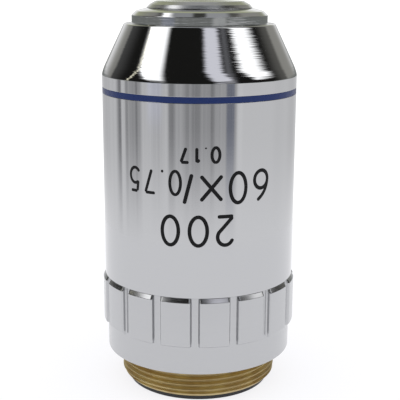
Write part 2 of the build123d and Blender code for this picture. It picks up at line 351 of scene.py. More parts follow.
room = blend_over(below, above, ramp(elevation, *HORIZON))
studio = put(sky, "ShaderNodeBackground", {"Color": room, "Strength": 1.0})
plain = put(sky, "ShaderNodeBackground", {"Color": (1, 1, 1, 1), "Strength": PLAIN_WHITE})
path = put(sky, "ShaderNodeLightPath")
matt_or_camera = calc(sky, "MAXIMUM", path.outputs["Is Camera Ray"], path.outputs["Is Diffuse Ray"])
seen = put(sky, "ShaderNodeMixShader", {0: matt_or_camera, 1: studio.outputs[0], 2: plain.outputs[0]})
put(sky, "ShaderNodeOutputWorld", {"Surface": seen.outputs[0]})
print("studio nodes", len(sky.nodes))

# %% [markdown]
# ## Turned pieces
#
# A lathe leaves small rounded edges, never a mathematical corner, and on chrome these catch a
# thin line of light. So a profile is written as its corners, each with a small radius, and one
# helper rounds them. It also sets a point close beside each round, because smooth shading spreads
# over a whole face, and a narrow strip keeps it at the edge. A second helper swings the profile
# around the axis and closes it.

# %% Make an object
def object_from(bm, name):
    """A bmesh as an object of the scene. The bmesh is freed."""
    mesh = bpy.data.meshes.new(name)
    bm.to_mesh(mesh)
    bm.free()
    made = bpy.data.objects.new(name, mesh)
    bpy.context.scene.collection.objects.link(made)
    return made


# %% Round a profile
EDGE = 0.05


def rounded(corners, steps=4, beside=0.03):
    """A closed outline through (radius, height, rounding) corners, with points beside each round."""
    points = []
    count = len(corners)
    for index, (x, y, rounding) in enumerate(corners):
        here = Vector((x, y))
        before = Vector(corners[index - 1][:2]) - here
        after = Vector(corners[(index + 1) % count][:2]) - here
        if rounding == 0:
            points.append(here)
            continue
        a, b = before.normalized(), after.normalized()
        half = a.angle(b) / 2
        reach_along = rounding / math.tan(half)
        centre = here + (a + b).normalized() * (rounding / math.sin(half))
        start, end = here + a * reach_along - centre, here + b * reach_along - centre
        swing = start.angle_signed(end)
        if before.length > reach_along + 4 * beside:
            points.append(here + a * (reach_along + beside))
        for step in range(steps + 1):
            turned = Matrix.Rotation(-swing * step / steps, 2) @ start
            points.append(centre + turned)
        if after.length > reach_along + 4 * beside:
            points.append(here + b * (reach_along + beside))
    return points


def refined(points, step, low, high):
    """The same outline, its runs between two heights cut into short steps."""
    result = []
    for index, point in enumerate(points):
        after = points[(index + 1) % len(points)]
        result.append(point)
        pieces = math.ceil((after - point).length / step)
        if low <= min(point.y, after.y) and max(point.y, after.y) <= high:
            result += [point.lerp(after, cut / pieces) for cut in range(1, pieces)]
    return result


# %% Swing a profile around the axis
AROUND = 256
WELD = 1e-8


def swung(bm, point, angle):
    """A new vertex at a profile's (radius, height) point, turned by an angle."""
    across = point.x * MM
    return bm.verts.new((across * math.cos(angle), across * math.sin(angle), point.y * MM))


def turn(name, outline):
    """A closed solid, its outline swung around the axis."""
    bm = bmesh.new()
    angles = [2 * math.pi * step / AROUND for step in range(AROUND)]
    rings = [[swung(bm, point, angle) for angle in angles] for point in outline]
    for index, ring in enumerate(rings):
        following = rings[(index + 1) % len(rings)]
        for step in range(AROUND):
            ahead = (step + 1) % AROUND
            bm.faces.new((ring[step], ring[ahead], following[ahead], following[step]))
    bmesh.ops.remove_doubles(bm, verts=bm.verts, dist=WELD)
    bmesh.ops.recalc_face_normals(bm, faces=bm.faces)
    for face in bm.faces:
        face.smooth = True
    piece = object_from(bm, name)
    print(name, "faces", len(piece.data.polygons))
    return piece


def dress(piece, materials, choose=None):
    """Give a piece its materials. The choice is made by each face's (radius, height) in mm."""
    piece.data.materials.clear()
    for material in materials:
        piece.data.materials.append(material)
    if choose:
        for face in piece.data.polygons:
            x, y, z = face.center / MM
            face.material_index = choose(math.hypot(x, y), z)


# %% [markdown]
# ## Finishes
#
# Every finish is built on Blender's Principled shader. The marks that a lathe or a polishing
# wheel leaves run around the axis. A noise that changes fast along the axis and slowly across it
# gives such rings, and it reads object coordinates, so that it stays on the piece.


# %% Helpers for finishes
def finish(name, **values):
    """A Principled material. Returns the material, its tree and its shader."""
    made = bpy.data.materials.new(name)
    made.use_nodes = True
    shader = made.node_tree.nodes["Principled BSDF"]
    for socket, value in values.items():
        shader.inputs[socket.replace("_", " ")].default_value = value
    return made, made.node_tree, shader


def lathe_rings(tree, across, along, detail=3.0):
    """Noise in rings: slow across the axis, fast along it, in marks per metre."""
    where = put(tree, "ShaderNodeTexCoord").outputs["Object"]
    stretched = put(tree, "ShaderNodeMapping", {"Vector": where, "Scale": (across, across, along)})
    inputs = {"Vector": stretched.outputs[0], "Scale": 1.0, "Detail": detail}
    return put(tree, "ShaderNodeTexNoise", inputs).outputs["Fac"]


def patches_noise(tree, scale, detail=4.0):
    """Even noise, the same in every direction, with its scale in patches per metre."""
    where = put(tree, "ShaderNodeTexCoord").outputs["Object"]
    inputs = {"Vector": where, "Scale": scale, "Detail": detail}
    return put(tree, "ShaderNodeTexNoise", inputs).outputs["Fac"]


def vary(tree, value, low, high):
    """A noise, which stays mostly between 0.3 and 0.7, stretched between two values."""
    inputs = {"Value": value, "From Min": 0.3, "From Max": 0.7, "To Min": low, "To Max": high}
    return put(tree, "ShaderNodeMapRange", inputs).outputs["Result"]


def emboss(tree, shader, height, depth):
    """A bump of a given depth in metres."""
    bump = put(tree, "ShaderNodeBump", {"Height": height, "Strength": 1.0, "Distance": depth})
    tree.links.new(bump.outputs[0], shader.inputs["Normal"])


# %% Chrome: mirror-polished, fine and satin
mirror_chrome, tree, shader = finish("mirror_chrome", Base_Color=(0.56, 0.565, 0.575, 1), Metallic=1.0)
tree.links.new(vary(tree, patches_noise(tree, 900), 0.03, 0.07), shader.inputs["Roughness"])
emboss(tree, shader, lathe_rings(tree, 250, 7000), 8e-6)

fine_chrome, tree, shader = finish("fine_chrome", Base_Color=(0.51, 0.514, 0.524, 1), Metallic=1.0)
tree.links.new(vary(tree, lathe_rings(tree, 60, 7000), 0.05, 0.09), shader.inputs["Roughness"])
emboss(tree, shader, lathe_rings(tree, 60, 26000), 4e-8)

satin_chrome, tree, shader = finish("satin_chrome", Base_Color=(0.51, 0.514, 0.524, 1), Metallic=1.0)
tree.links.new(vary(tree, lathe_rings(tree, 60, 7000), 0.22, 0.26), shader.inputs["Roughness"])
emboss(tree, shader, lathe_rings(tree, 60, 26000), 4e-8)

# %% Brass, black paint, enamel and steel
turned_brass, tree, shader = finish("turned_brass", Metallic=1.0)
tarnish = vary(tree, patches_noise(tree, 500), 0.0, 1.0)
clean, tarnished = (0.60, 0.49, 0.24, 1), (0.47, 0.35, 0.17, 1)
worn = put(tree, "ShaderNodeMix", {"Factor": tarnish, 6: clean, 7: tarnished}, data_type="RGBA")
tree.links.new(worn.outputs[2], shader.inputs["Base Color"])
tree.links.new(vary(tree, lathe_rings(tree, 300, 12000), 0.38, 0.55), shader.inputs["Roughness"])

matt_black, tree, shader = finish("matt_black", Base_Color=(0.012, 0.012, 0.013, 1), Roughness=0.5)
tree.links.new(vary(tree, patches_noise(tree, 4000), 0.40, 0.60), shader.inputs["Roughness"])
emboss(tree, shader, patches_noise(tree, 12000), 1e-6)

blue_enamel, tree, shader = finish(
    "blue_enamel", Base_Color=(0.007, 0.020, 0.095, 1), Specular_IOR_Level=0.25
)
tree.links.new(vary(tree, patches_noise(tree, 1500), 0.22, 0.36), shader.inputs["Roughness"])

ink_black, tree, shader = finish(
    "ink_black", Base_Color=(0.006, 0.006, 0.007, 1), Specular_IOR_Level=0.15
)
tree.links.new(vary(tree, patches_noise(tree, 6000), 0.35, 0.55), shader.inputs["Roughness"])

bright_steel, tree, shader = finish("bright_steel", Base_Color=(0.50, 0.50, 0.51, 1), Metallic=1.0)
tree.links.new(vary(tree, patches_noise(tree, 3000), 0.22, 0.36), shader.inputs["Roughness"])

coated_glass, tree, shader = finish(
    "coated_glass", Base_Color=(0.93, 0.97, 1.0, 1), Roughness=0.0, IOR=1.52, Transmission_Weight=1.0
)
tree.links.new(vary(tree, patches_noise(tree, 800), 0.0, 0.02), shader.inputs["Roughness"])

# %% [markdown]
# ## Outer sleeve
#
# The sleeve is one thin turned shell: a long satin cylinder, a groove for the colour ring, and a
# mirror-polished cone. Its lower edge has a small bevel, and with the ring's bevel it makes the
# fine dark seam above the grip. Buffing has rolled the cone over a little towards the cylinder,
# which is where the softboxes' reflections end in round tips.

# %% Turn the sleeve
CONE_START = 35.63
SLEEVE_BORE = 11.40
FRONT_BORE = 8.51
TIP_RADIUS = 9.40
FRONT_LAND = 2.30
CHAMBER_OVERRUN = 1.00
GROOVE_DEPTH = 0.12
# Each point: how far in from the sleeve, how far up from the cone's start, rounding
ROLLED_EDGE = ((0.0, 0.0, 0.30), (0.07, 0.29, 1.5), (0.20, 0.67, 3.0), (0.39, 1.13, 4.0))

sleeve_outline = rounded(
    [
        (SLEEVE_BORE, ring_top, EDGE),
        (sleeve_r, ring_top, 0.09),
        (sleeve_r, colour_low, 0.02),
        (sleeve_r - GROOVE_DEPTH, colour_low, 0.02),
        (sleeve_r - GROOVE_DEPTH, colour_high, 0.02),
        (sleeve_r, colour_high, 0.02),
        *((sleeve_r - inwards, CONE_START + up, rounding) for inwards, up, rounding in ROLLED_EDGE),
        (TIP_RADIUS, cone_tip, 0.24),
        (FRONT_BORE, cone_tip, 0.10),
        (FRONT_BORE, cone_tip - FRONT_LAND, EDGE),
        (SLEEVE_BORE, CONE_START - CHAMBER_OVERRUN, EDGE),
    ]
)
sleeve = turn("sleeve_shell", sleeve_outline)
MIRROR_FROM = CONE_START - 0.1
dress(sleeve, [fine_chrome, mirror_chrome], lambda radius, height: int(height > MIRROR_FROM))
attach(sleeve, "housing")
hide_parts("outer_sleeve")

# %% [markdown]
# ## Colour ring
#
# A thin band of dark blue enamel lies in the sleeve's groove, a hair below flush. It crowns very
# slightly, as paint does when it dries between two edges.

# %% Turn the colour ring
colour_band = turn(
    "enamel_band",
    rounded(
        [
            (sleeve_r - GROOVE_DEPTH, colour_low, 0),
            (colour_r, colour_low, 0.03),
            (colour_r, colour_high, 0.03),
            (sleeve_r - GROOVE_DEPTH, colour_high, 0),
        ],
        beside=0.02,
    ),
)
dress(colour_band, [blue_enamel])
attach(colour_band, "housing")
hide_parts("colour_ring")

# %% [markdown]
# ## Fluted grip ring
#
# The ring has a plain band below and raised pads above, with sixteen narrow grooves between the
# pads. One sixteenth is modelled, from the middle of one groove to the middle of the next, and a
# geometry tree repeats it around the axis and welds the borders. Each column of the sector runs
# from the bore over the outside and back. It follows the pad's profile, the groove's, or a
# blend of the two on the groove's slanted wall.

# %% Sizes of the grip ring
RING_STEP = 0.27
RING_WALL = 1.08
BAND_R = sleeve_r - RING_STEP
GRIP_R = sleeve_r + RING_STEP
CORE_R = BAND_R - RING_WALL
BAND_TOP = 3.66
GRIP_TOP = 9.36
GROOVES = 16
GROOVE_MOUTH = 1.20
GROOVE_FLOOR = 0.90
GROOVE_PHASE = -1.9
PAD_COLUMNS = 12

# %% Profile of a pad
# Rows of (radius, height) from the bore's foot, around the outside, to the bore's top
pad_rows = rounded(
    [
        (CORE_R, 0.0, 0),
        (BAND_R, 0.0, 0.06),
        (BAND_R, BAND_TOP, 0.05),
        (GRIP_R, BAND_TOP, 0.22),
        (GRIP_R, GRIP_TOP, 0.12),
        (sleeve_r, ring_top, 0.03),
        (CORE_R, ring_top, 0),
    ]
)


# %% Profile of a groove
def groove_row(row):
    """The groove's point beside a point of the pad's profile: no further out than the band."""
    return Vector((min(row.x, BAND_R), row.y))


def groove_wall():
    """(offset from the groove's middle, how far out) across half a groove and onto the pad."""
    depth = GRIP_R - BAND_R
    path = rounded(
        [
            (0.0, 0.0, 0),
            (GROOVE_FLOOR / 2, 0.0, 0.20),
            (GROOVE_MOUTH / 2, depth, 0.25),
            (GROOVE_MOUTH, depth, 0),
            (GROOVE_MOUTH, -depth, 0),
            (0.0, -depth, 0),
        ]
    )
    seen = [point for point in path if point.y > -0.01 and point.x < GROOVE_MOUTH - 0.01]
    return [(point.x, point.y / depth) for point in seen]


# %% Columns across one sector
sector = 2 * math.pi / GROOVES
half_groove = [(offset / GRIP_R, out) for offset, out in groove_wall()]
pad_start = half_groove[-1][0]
pad_step = (sector - 2 * pad_start) / PAD_COLUMNS
columns = list(half_groove)
columns += [(pad_start + pad_step * step, 1.0) for step in range(1, PAD_COLUMNS)]
columns += [(sector - angle, out) for angle, out in reversed(half_groove)]
print("ring sector:", len(columns), "columns by", len(pad_rows), "rows")

# %% Mesh of one sector
FIRST_GROOVE = math.radians(GROOVE_PHASE - 90)

bm = bmesh.new()
grid = []
for angle, out in columns:
    profile = [groove_row(row).lerp(row, out) for row in pad_rows]
    grid.append([swung(bm, point, angle + FIRST_GROOVE) for point in profile])
for left, right in zip(grid, grid[1:]):
    for index in range(len(pad_rows)):
        following = (index + 1) % len(pad_rows)
        bm.faces.new((left[index], right[index], right[following], left[following]))
grip = object_from(bm, "grip_flutes")


# %% Helpers for geometry trees
def new_tree(name, **inputs):
    """A geometry tree with a Geometry input and output, and float or whole-number inputs."""
    tree = bpy.data.node_groups.new(name, "GeometryNodeTree")
    tree.interface.new_socket("Geometry", in_out="INPUT", socket_type="NodeSocketGeometry")
    tree.interface.new_socket("Geometry", in_out="OUTPUT", socket_type="NodeSocketGeometry")
    for label, default in inputs.items():
        kind = "NodeSocketInt" if isinstance(default, int) else "NodeSocketFloat"
        tree.interface.new_socket(label, in_out="INPUT", socket_type=kind).default_value = default
    return tree, put(tree, "NodeGroupInput").outputs


def close_tree(tree, geometry, finish_material):
    """End a tree: smooth shading, material and output."""
    smooth = put(tree, "GeometryNodeSetShadeSmooth", {"Geometry": geometry})
    inputs = {"Geometry": smooth.outputs[0], "Material": finish_material}
    coloured = put(tree, "GeometryNodeSetMaterial", inputs)
    put(tree, "NodeGroupOutput", {0: coloured.outputs[0]})


def run_tree(piece, tree, **sizes):
    """Run a tree on a piece with its named inputs set, and keep the result as a plain mesh."""
    modifier = piece.modifiers.new(tree.name, "NODES")
    modifier.node_group = tree
    for socket in tree.interface.items_tree:
        if socket.in_out == "INPUT" and socket.name in sizes:
            modifier[socket.identifier] = sizes[socket.name]
    evaluated = piece.evaluated_get(bpy.context.evaluated_depsgraph_get())
    shape = bpy.data.meshes.new_from_object(evaluated)
    piece.modifiers.clear()
    piece.data = shape
    print(piece.name, "faces", len(shape.polygons))


# %% Repeat the sector around the axis
BORDER_WELD = 1e-7

repeat_tree, given = new_tree("repeat_around_axis", Count=8)
points = put(repeat_tree, "GeometryNodeMeshLine", {"Count": given["Count"], "Offset": (0, 0, 0)})
step_angle = calc(repeat_tree, "DIVIDE", 2 * math.pi, given["Count"])
index = put(repeat_tree, "GeometryNodeInputIndex").outputs[0]
swing = put(repeat_tree, "ShaderNodeCombineXYZ", {2: calc(repeat_tree, "MULTIPLY", index, step_angle)})
copies = put(
    repeat_tree,
    "GeometryNodeInstanceOnPoints",
    {"Points": points.outputs[0], "Instance": given["Geometry"], "Rotation": swing.outputs[0]},
)
real = put(repeat_tree, "GeometryNodeRealizeInstances", {0: copies.outputs[0]})
welded = put(
    repeat_tree,
    "GeometryNodeMergeByDistance",
    {"Geometry": real.outputs[0], "Distance": BORDER_WELD},
)
close_tree(repeat_tree, welded.outputs[0], satin_chrome)
run_tree(grip, repeat_tree, Count=GROOVES)

# %% Turn the ring's faces outwards
bm = bmesh.new()
bm.from_mesh(grip.data)
bmesh.ops.recalc_face_normals(bm, faces=bm.faces)
bm.to_mesh(grip.data)
bm.free()
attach(grip, "housing")
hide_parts("grip_ring")

# %% [markdown]
# ## Brass mount with its thread
#
# The mount is turned first as a plain blank, and the thread is cut into it afterwards, just as on
# the lathe: the cutter's groove winds around the axis and takes away whatever stands in its way.
# A geometry tree does this by moving each point of the blank in to the cutter's depth, if it lies
# further out. The objective thread has 36 turns to the inch, and its rounded form is very near a
# sine wave. The key's small cross hole isn't cut here: the key fills it and the sleeve covers it.

# %% Turn the blank
THREAD_R = 10.12
THREAD_LEAD = 0.55
THREAD_RELIEF = 0.38
RELIEF_R = 9.60
THREAD_PITCH = 25.4 / 36
THREAD_DEPTH = 0.64 * THREAD_PITCH
GUIDE_BORE = 7.95
CHAMBER_BORE = 10.40
SPRING_SEAT = 10.50
THREAD_STEP = 0.055

blank = rounded(
    [
        (GUIDE_BORE, thread_end, EDGE),
        (THREAD_R - THREAD_LEAD, thread_end, EDGE),
        (THREAD_R, thread_end + THREAD_LEAD, EDGE),
        (THREAD_R, -THREAD_RELIEF, EDGE),
        (RELIEF_R, -THREAD_RELIEF, EDGE),
        (RELIEF_R, 0.0, EDGE),
        (CORE_R, 0.0, EDGE),
        (CORE_R, ring_top, EDGE),
        (SLEEVE_BORE, ring_top, EDGE),
        (SLEEVE_BORE, mount_top, EDGE),
        (CHAMBER_BORE, mount_top, EDGE),
        (CHAMBER_BORE, SPRING_SEAT, EDGE),
        (GUIDE_BORE, SPRING_SEAT, EDGE),
    ]
)
mount = turn("threaded_mount", refined(blank, THREAD_STEP, thread_end, -THREAD_RELIEF + EDGE))

# %% Depth of the thread at a point
thread_tree, given = new_tree("cut_thread", Pitch=0.001, Crest=0.01, Depth=0.0005, Shoulder=0.0)
position = put(thread_tree, "GeometryNodeInputPosition").outputs[0]
x, y, z = put(thread_tree, "ShaderNodeSeparateXYZ", {0: position}).outputs
x_squared = calc(thread_tree, "MULTIPLY", x, x)
y_squared = calc(thread_tree, "MULTIPLY", y, y)
radius = calc(thread_tree, "SQRT", calc(thread_tree, "ADD", x_squared, y_squared))
turns = calc(thread_tree, "DIVIDE", calc(thread_tree, "ARCTAN2", y, x), 2 * math.pi)
phase = calc(thread_tree, "SUBTRACT", calc(thread_tree, "DIVIDE", z, given["Pitch"]), turns)
wave = calc(thread_tree, "COSINE", calc(thread_tree, "MULTIPLY", phase, 2 * math.pi))
share = calc(thread_tree, "SUBTRACT", 0.5, calc(thread_tree, "MULTIPLY", wave, 0.5))
cut_in = calc(thread_tree, "MULTIPLY", share, given["Depth"])
limit = calc(thread_tree, "SUBTRACT", given["Crest"], cut_in)

# %% Cut the thread
SHOULDER_CLEARANCE = 0.2
factor = calc(thread_tree, "MINIMUM", 1.0, calc(thread_tree, "DIVIDE", limit, radius))
new_place = put(
    thread_tree,
    "ShaderNodeCombineXYZ",
    {0: calc(thread_tree, "MULTIPLY", x, factor), 1: calc(thread_tree, "MULTIPLY", y, factor), 2: z},
)
below_shoulder = calc(thread_tree, "LESS_THAN", z, given["Shoulder"])
cut = put(
    thread_tree,
    "GeometryNodeSetPosition",
    {"Geometry": given["Geometry"], "Selection": below_shoulder, "Position": new_place.outputs[0]},
)
close_tree(thread_tree, cut.outputs[0], turned_brass)
run_tree(
    mount,
    thread_tree,
    Pitch=THREAD_PITCH * MM,
    Crest=THREAD_R * MM,
    Depth=THREAD_DEPTH * MM,
    Shoulder=-SHOULDER_CLEARANCE * MM,
)
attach(mount, "housing")
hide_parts("mount_body")

# %% [markdown]
# ## Black ring at the thread's end
#
# The thread ends in a thin black ring, pressed into the bore. Only its lower lip shows, as the
# dark line that the objective stands on.

# %% Turn the end ring
END_RING_HOLE = 7.00
end_ring = turn(
    "black_end_ring",
    rounded(
        [
            (END_RING_HOLE, table, EDGE),
            (end_ring_r, table, EDGE),
            (end_ring_r, thread_end, EDGE),
            (GUIDE_BORE, thread_end, EDGE),
            (GUIDE_BORE, end_ring_top, EDGE),
            (END_RING_HOLE, end_ring_top, EDGE),
        ]
    ),
)
dress(end_ring, [matt_black])
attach(end_ring, "housing")
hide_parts("thread_end_ring")

# %% [markdown]
# ## Sliding barrel and its nose
#
# The barrel carries all the optics and slides in the sleeve. What shows of it is the nose above
# the cone: a short side, a bevel and a face that rises gently to the front cell. The rest is
# turned here as well, so that the piece is whole when the nose slides back. A key in the mount
# keeps the barrel from turning. Its slot is cut into the collar with a boolean, because a slot
# isn't turned, and it ends where the key stands when the nose is pushed all the way in.

# %% Turn the barrel
BARREL_BORE = 7.00
STEM_R = 7.90
NOSE_R = 8.46
COLLAR_REAR = 16.50
COLLAR_FRONT = 20.50
NOSE_BEVEL_AT = 42.89
NOSE_FACE_AT = 43.37
NOSE_BEVEL = 0.50
SPIGOT_R = 5.90

barrel = turn(
    "sliding_barrel",
    rounded(
        [
            (BARREL_BORE, barrel_rear, EDGE),
            (STEM_R, barrel_rear, EDGE),
            (STEM_R, COLLAR_REAR, EDGE),
            (collar_r, COLLAR_REAR, EDGE),
            (collar_r, COLLAR_FRONT, EDGE),
            (NOSE_R, COLLAR_FRONT, EDGE),
            (NOSE_R, NOSE_BEVEL_AT, 0.08),
            (NOSE_R - NOSE_BEVEL, NOSE_FACE_AT, 0.08),
            (flange_r, cell_seat, 0),
            (SPIGOT_R, cell_seat, EDGE),
            (SPIGOT_R, bore_front, EDGE),
            (BARREL_BORE, bore_front, EDGE),
        ]
    ),
)
dress(barrel, [mirror_chrome])


# %% A box to cut with, and a cut
def block(name, low, high):
    """A closed box between two corners, in millimetres."""
    size = [b - a for a, b in zip(low, high)]
    middle = [(a + b) / 2 * MM for a, b in zip(low, high)]
    bm = bmesh.new()
    bmesh.ops.create_cube(bm, size=MM)
    bmesh.ops.scale(bm, verts=bm.verts, vec=size)
    bmesh.ops.translate(bm, verts=bm.verts, vec=middle)
    return object_from(bm, name)


def cut_away(piece, tool):
    """Cut a closed tool out of a piece, and drop the tool."""
    change = piece.modifiers.new("cut", "BOOLEAN")
    change.operation = "DIFFERENCE"
    change.solver = "EXACT"
    change.object = tool
    result = piece.evaluated_get(bpy.context.evaluated_depsgraph_get())
    cut_mesh = bpy.data.meshes.new_from_object(result)
    piece.modifiers.clear()
    piece.data = cut_mesh
    bpy.data.objects.remove(tool)
    print(piece.name, "faces after its cut", len(cut_mesh.polygons))


# %% Mill the key slot
SLOT_CLEARANCE = 0.05
SLOT_END_GAP = 0.15
SLOT_OVERRUN = 0.2
SLOT_CUT_HEIGHT = 2.0

key_low, key_high = (Vector(corner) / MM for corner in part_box("guide_pin"))
key_r = (key_high.x - key_low.x) / 2
key_z = (key_low.z + key_high.z) / 2
nose_travel = frame["record"]["behaviour"]["joints"][0]["range_m"][1] / MM
collar_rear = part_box("compression_spring")[1][2] / MM
slot_half = key_r + SLOT_CLEARANCE
slot_low = (-slot_half, key_low.y - SLOT_END_GAP, collar_rear - SLOT_OVERRUN)
slot_high = (slot_half, key_low.y + SLOT_CUT_HEIGHT, key_z + nose_travel + key_r)
cut_away(barrel, block("key_slot", slot_low, slot_high))
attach(barrel, "nose")
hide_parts("inner_barrel")

# %% [markdown]
# ## Front cell and front lens
#
# The cell is a small crown with two bevels around the front lens. Its polish is softer than the
# nose's, so it mirrors the room only in broad tones. The lens has a flat front, and its strongly
# curved back faces into the barrel.

# %% Turn the cell
CELL_SHOULDER_R = 6.22
CELL_SHOULDER_RISE = 0.44
CELL_TOP_R = 5.50
CELL_DISH_R = 4.40
CELL_REAR_BORE = 4.70
LENS_EDGE_HEIGHT = 1.30
BLACK_WITHIN = 5.80

lens_edge_foot = lens_face - LENS_EDGE_HEIGHT
cell = turn(
    "crown_cell",
    rounded(
        [
            (flange_r, cell_seat, 0.04),
            (CELL_SHOULDER_R, cell_seat + CELL_SHOULDER_RISE, 0.12),
            (CELL_TOP_R, cell_top, 0.10),
            (CELL_DISH_R, cell_top, 0.05),
            (lens_r, lens_face, 0.03),
            (lens_r, lens_edge_foot, 0.03),
            (CELL_REAR_BORE, bore_front, EDGE),
            (SPIGOT_R, bore_front, EDGE),
            (SPIGOT_R, cell_seat, 0),
        ],
        beside=0.02,
    ),
)


def inside_cell(radius, height):
    """1 on the cell's blackened inside, below the lens's face, and 0 elsewhere."""
    return int(height < lens_face - EDGE and radius < BLACK_WITHIN)


dress(cell, [satin_chrome, matt_black], inside_cell)
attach(cell, "nose")
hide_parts("front_cell")


# %% Turn the front lens
def lens_back(rim, sag, steps=20):
    """Points of a spherical surface that bulges to the lens's rear, from its rim to the axis."""
    sphere = (rim**2 + sag**2) / (2 * sag)
    result = []
    for step in range(steps + 1):
        radius = rim * (1 - step / steps)
        result.append(Vector((radius, lens_rear + sphere - math.sqrt(sphere**2 - radius**2))))
    return result


lens_front = [
    Vector((0, lens_face)),
    Vector((lens_r - EDGE, lens_face)),
    Vector((lens_r, lens_face - EDGE)),
]
front_glass = turn("front_glass", lens_front + lens_back(lens_r, lens_edge_foot - lens_rear))
dress(front_glass, [coated_glass])
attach(front_glass, "nose")
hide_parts("front_lens")

# %% [markdown]
# ## Engraved figures
#
# The sleeve carries three lines of engraved figures, filled with black, which read the right way
# up when the objective hangs in its microscope. They are plain numbers here. An engraver's
# pantograph cuts each figure with one round cutter, so the figures are drawn as single strokes
# with round ends, the large ones with a wider cutter. A geometry tree thickens the strokes on a
# flat sheet and rolls the sheet on the sleeve.

# %% Strokes of each figure
def arc(cx, cy, rx, ry, start, end, count=28):
    """Points along part of an ellipse, in degrees."""
    angles = [math.radians(start + (end - start) * step / count) for step in range(count + 1)]
    return [(cx + rx * math.cos(a), cy + ry * math.sin(a)) for a in angles]


def bend(first, middle, last, count=12):
    """Points along a simple curve that leaves towards the middle point."""
    a, b, c = Vector(first), Vector(middle), Vector(last)
    shares = [step / count for step in range(count + 1)]
    return [tuple(a.lerp(b, share).lerp(b.lerp(c, share), share)) for share in shares]


FIGURES = {
    "0": [arc(0.30, 0.5, 0.30, 0.5, 80, 460, 48)],
    "1": [[(0.30, 1.0), (0.30, 0.0)], [(0.30, 1.0), (0.08, 0.80)]],
    "2": [arc(0.30, 0.71, 0.29, 0.29, 165, -35) + [(0.02, 0.02)], [(0.0, 0.0), (0.60, 0.0)]],
    "5": [
        [(0.54, 1.0), (0.12, 1.0)],
        [(0.12, 1.0), (0.06, 0.55)],
        arc(0.27, 0.33, 0.31, 0.33, 135, -150),
    ],
    "6": [
        bend((0.47, 1.0), (0.02, 0.75), (0.0, 0.30)),
        arc(0.30, 0.30, 0.30, 0.30, 170, 550, 40),
    ],
    "7": [[(0.0, 1.0), (0.58, 1.0)], [(0.58, 1.0), (0.20, 0.0)]],
    "x": [[(0.0, 0.06), (0.62, 0.90)], [(0.0, 0.90), (0.62, 0.06)]],
    "/": [[(0.0, 0.0), (0.30, 1.0)]],
    ".": [arc(0.02, 0.03, 0.02, 0.02, 0, 360, 8)],
}


def add_figure(bm, cutter, name, left, width, base, height):
    """Draw one figure's strokes on the flat sheet, so that their full width fills a box, in mm."""
    tall = height - cutter
    drawn = FIGURES[name]
    widest = max(x for stroke in drawn for x, _ in stroke)
    across = (width - cutter) / widest
    for stroke in drawn:
        last = None
        for x, y in stroke:
            place = (left + cutter / 2 + x * across, base + cutter / 2 + y * tall)
            vert = bm.verts.new((place[0] * MM, place[1] * MM, 0))
            if last:
                bm.edges.new((last, vert))
            last = vert


# %% Set out the three lines
# Each entry: figure, left edge and width along the sleeve, height of its base line, its own
# height, all in mm
SHEET_TOP = 30.0
LARGE_CUTTER = 0.45
LARGE_FIGURES = [
    ("2", -4.40, 2.40, 20.24, 3.95),
    ("0", -1.23, 2.55, 20.24, 3.95),
    ("0", 2.20, 2.45, 20.24, 3.95),
    ("6", -9.15, 2.42, 25.42, 4.05),
    ("0", -5.98, 2.45, 25.42, 4.05),
    ("x", -2.98, 3.00, 25.42, 4.05),
    ("/", 0.60, 1.36, 25.42, 4.05),
]
SMALL_CUTTER = 0.37
SMALL_FIGURES = [
    ("0", 1.98, 1.66, 25.64, 3.17),
    (".", 4.22, 0.44, 25.64, 3.17),
    ("7", 5.15, 1.68, 25.64, 3.17),
    ("5", 7.38, 1.70, 25.64, 3.17),
    ("0", -2.62, 1.30, 28.47, 2.10),
    (".", -0.98, 0.42, 28.47, 2.10),
    ("1", -0.40, 0.84, 28.47, 2.10),
    ("7", 1.00, 1.30, 28.47, 2.10),
]


def figure_sheet(name, cutter, figures):
    """The flat sheet of one cutter's figures, as bare strokes."""
    bm = bmesh.new()
    for figure, left, width, base, height in figures:
        add_figure(bm, cutter, figure, left, width, SHEET_TOP - base, height)
    return object_from(bm, name)


large_figures = figure_sheet("large_figures", LARGE_CUTTER, LARGE_FIGURES)
small_figures = figure_sheet("small_figures", SMALL_CUTTER, SMALL_FIGURES)

# %% Thicken the strokes
STROKE_STEP = 0.04
PROUD = 0.012

ink_tree, given = new_tree("engrave_on_sleeve", Cutter=0.0001, Proud=0.00001, Sleeve=0.01, Top=0.03)
lines = put(ink_tree, "GeometryNodeMeshToCurve", {0: given["Geometry"]})
fine = put(
    ink_tree,
    "GeometryNodeResampleCurve",
    {"Curve": lines.outputs[0], "Length": STROKE_STEP * MM},
    mode="LENGTH",
)
along = put(ink_tree, "GeometryNodeSplineParameter").outputs["Length"]
whole = put(ink_tree, "GeometryNodeSplineLength").outputs["Length"]
half_cut = calc(ink_tree, "MULTIPLY", given["Cutter"], 0.5)
from_end = calc(ink_tree, "MINIMUM", along, calc(ink_tree, "SUBTRACT", whole, along))
inwards = calc(ink_tree, "MINIMUM", 1.0, calc(ink_tree, "DIVIDE", from_end, half_cut))
share = calc(ink_tree, "SUBTRACT", 1.0, inwards)
circle = calc(ink_tree, "SUBTRACT", 1.0, calc(ink_tree, "MULTIPLY", share, share))
round_end = calc(ink_tree, "MAXIMUM", calc(ink_tree, "SQRT", circle), 0.05)
thick = put(ink_tree, "GeometryNodeSetCurveRadius", {"Curve": fine.outputs[0], "Radius": round_end})
cutter_edge = put(
    ink_tree, "GeometryNodeCurvePrimitiveCircle", {"Resolution": 10, "Radius": half_cut}
)
tubes = put(
    ink_tree,
    "GeometryNodeCurveToMesh",
    {
        "Curve": thick.outputs[0],
        "Profile Curve": cutter_edge.outputs[0],
        "Scale": put(ink_tree, "GeometryNodeInputRadius").outputs[0],
        "Fill Caps": True,
    },
)

